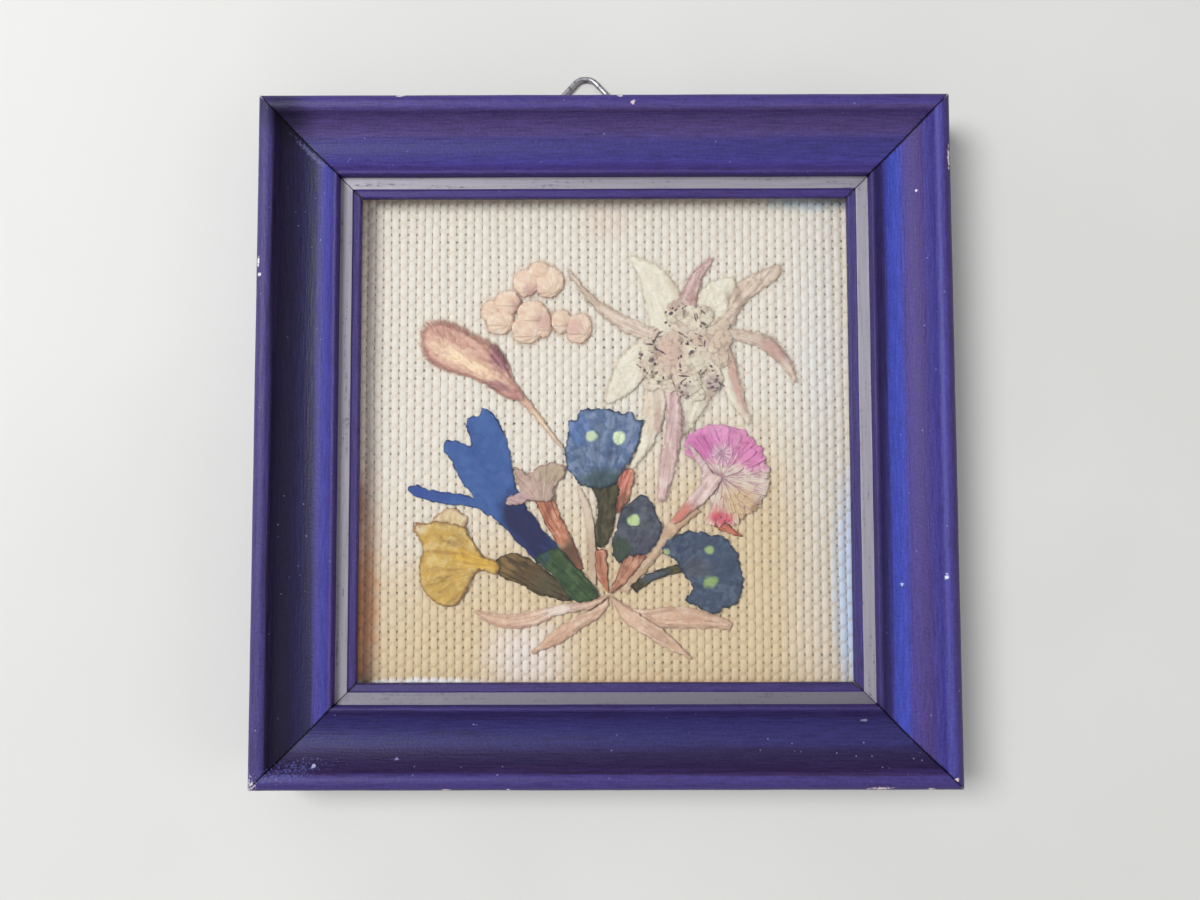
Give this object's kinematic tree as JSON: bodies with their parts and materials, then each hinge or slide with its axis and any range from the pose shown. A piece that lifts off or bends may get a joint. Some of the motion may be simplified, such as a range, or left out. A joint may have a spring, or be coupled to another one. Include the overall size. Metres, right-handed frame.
{
  "type": "pressed flower frame",
  "caption": "Square painted wooden picture frame with pressed mountain flowers on linen under glass and a swinging wire hanger ring.",
  "frame": {"origin": "middle of the back board's rear face, which the frame rests on when it lies on its back", "axes": "+X to the right across the picture, +Y up the picture towards the hanger, +Z out of the front"},
  "size_m": [0.12, 0.1279, 0.014],
  "materials": {
    "paint": "satin aubergine and violet-blue paint over wood, worn at the edges, dull silver-bronze line by the window",
    "glass": "clear flat pane",
    "linen": "coarse cream plain-weave linen, foxed orange-brown along the left edge",
    "card": "grey-buff card",
    "board": "plain brown hardboard",
    "steel": "dull bright wire and strip",
    "cream_bract": "dry felted cream bract",
    "tan_leaf": "dry tan leaf, faintly veined",
    "mauve_leaf": "dry mauve-tan petal",
    "heads": "woolly cream flower heads with dark brown specks",
    "everlasting": "papery pale peach flower heads",
    "grass": "pink-brown hairs over a cream core",
    "gentian": "flat deep blue, darker at the tube",
    "calyx_green": "dull green, streaked",
    "primrose": "ochre yellow, brown at the rims",
    "calyx_brown": "olive brown, ribbed",
    "orange_stem": "orange-red, streaked brown",
    "olive": "dark olive green, streaked",
    "slate_petal": "dusty blue-grey with small yellow-green eyes",
    "pink_petal": "pink ray petals fading to cream and ochre"
  },
  "bodies": {
    "frame": {"rail_top": "paint", "rail_bottom": "paint", "rail_left": "paint", "rail_right": "paint", "glass_pane": "glass", "linen_panel": "linen", "mount_card": "card", "back_board": "board", "hanger_strap": "steel", "hanger_nail": "steel", "edelweiss_bract_1": "cream_bract", "edelweiss_bract_3": "cream_bract", "edelweiss_bract_6": "cream_bract", "edelweiss_bract_8": "cream_bract", "edelweiss_bract_9": "cream_bract", "edelweiss_bract_11": "cream_bract", "edelweiss_bract_4": "tan_leaf", "edelweiss_bract_5": "tan_leaf", "edelweiss_bract_7": "tan_leaf", "pale_leaf": "tan_leaf", "tan_stem": "tan_leaf", "base_leaf_1": "tan_leaf", "base_leaf_2": "tan_leaf", "base_leaf_3": "tan_leaf", "base_leaf_4": "tan_leaf", "grass_stem": "tan_leaf", "primrose_back_petal": "tan_leaf", "edelweiss_bract_2": "mauve_leaf", "edelweiss_bract_10": "mauve_leaf", "primula_petals": "mauve_leaf", "pink_flower_stalk": "mauve_leaf", "edelweiss_heads": "heads", "everlasting_top": "everlasting", "everlasting_left": "everlasting", "everlasting_middle": "everlasting", "everlasting_right": "everlasting", "grass_head": "grass", "gentian_flower": "gentian", "gentian_calyx": "calyx_green", "primrose_petals": "primrose", "primrose_calyx": "calyx_brown", "primula_tube": "orange_stem", "blue_flower_top_stem": "orange_stem", "blue_flower_middle_stem": "orange_stem", "red_leaf": "orange_stem", "pink_flower_tail": "orange_stem", "blue_flower_top_tube": "olive", "blue_flower_right_stem": "olive", "blue_flower_top": "slate_petal", "blue_flower_middle": "slate_petal", "blue_flower_right": "slate_petal", "pink_flower": "pink_petal"},
    "ring": {"hanger_ring": "steel"}
  },
  "joints": [
    {"name": "hanger_swing", "type": "hinge", "parent": "frame", "child": "ring", "pos_m": [-0.0034, 0.057, 0.001], "axis": [-1, 0, 0], "range_deg": [0, 160]}
  ]
}
